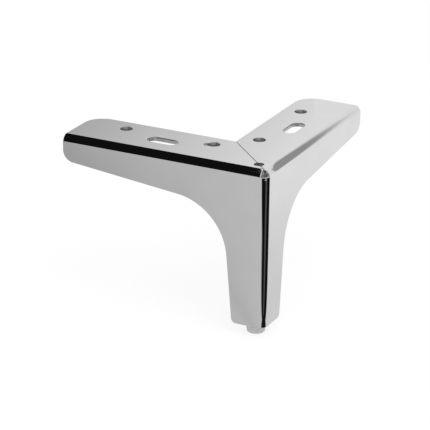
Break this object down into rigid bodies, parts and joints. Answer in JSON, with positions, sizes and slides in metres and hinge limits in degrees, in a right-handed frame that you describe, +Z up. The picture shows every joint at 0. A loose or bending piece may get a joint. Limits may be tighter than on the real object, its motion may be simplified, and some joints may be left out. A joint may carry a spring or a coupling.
{
  "type": "cabinet leg",
  "caption": "Corner leg for a cabinet: folded chromed sheet with tapering walls, a slotted L-shaped mounting flange with a mitred corner, and a round plastic glide.",
  "frame": {"origin": "centre of the glide's underside, on the floor", "axes": "+X and +Y along the two arms, away from the outer corner; +Z up, out of the mounting face"},
  "size_m": [0.1288, 0.1288, 0.1],
  "materials": {
    "chromed_steel": "bright chrome plate on polished steel",
    "glide_plastic": "moulded, satin"
  },
  "bodies": {
    "root": {"leg_sheet": "chromed_steel", "foot_plate": "chromed_steel", "foot_glide": "glide_plastic"}
  },
  "joints": []
}
